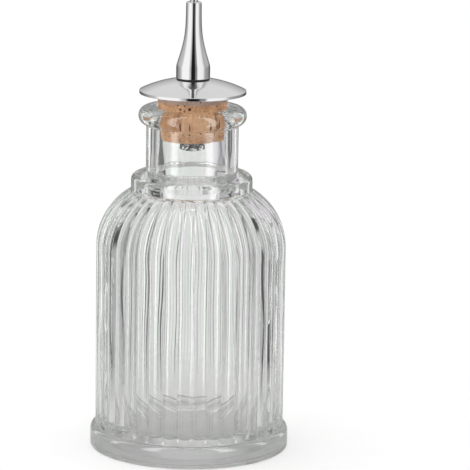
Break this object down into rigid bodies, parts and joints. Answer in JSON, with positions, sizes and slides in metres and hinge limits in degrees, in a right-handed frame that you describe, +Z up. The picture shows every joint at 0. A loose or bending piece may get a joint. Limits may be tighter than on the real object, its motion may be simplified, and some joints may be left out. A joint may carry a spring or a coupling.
{
  "type": "bitters dasher bottle",
  "caption": "Reeded glass bitters bottle with domed shoulder, tapered cork, chromed drip disc and screw-on dasher spout for adding drops to a drink.",
  "frame": {"origin": "on the bottle's axis, in the plane it stands on", "axes": "+Z up along the bottle's axis from foot to spout; X and Y across, the crest of a reed on each"},
  "size_m": [0.0652, 0.0652, 0.1494],
  "materials": {
    "glass": "clear pressed glass",
    "cork": "natural cork",
    "chrome": "polished",
    "steel": "plain",
    "rubber": "matt black"
  },
  "bodies": {
    "bottle": {"glass_bottle": "glass"},
    "stopper": {"cork_stopper": "cork", "drip_disc": "chrome", "hollow_stem": "steel", "stem_washer": "steel", "stem_nut": "steel"},
    "seal": {"spout_seal_ring": "rubber"},
    "spout": {"dasher_spout": "chrome", "nozzle_tube": "steel"}
  },
  "joints": [
    {"name": "stopper_pull", "type": "slide", "parent": "bottle", "child": "stopper", "axis": [0, 0, 1], "range_m": [0, 0.04]},
    {"name": "spout_rise", "type": "slide", "parent": "stopper", "child": "seal", "axis": [0, 0, 1], "range_m": [0, 0.0048]},
    {"name": "spout_turn", "type": "hinge", "parent": "seal", "child": "spout", "pos_m": [0, 0, 0.1225], "axis": [0, 0, 1], "range_deg": [0, 2160]}
  ],
  "couplings": [
    {"joint": "spout_rise", "follows": "spout_turn", "m_per_rad": 0.00012732}
  ]
}
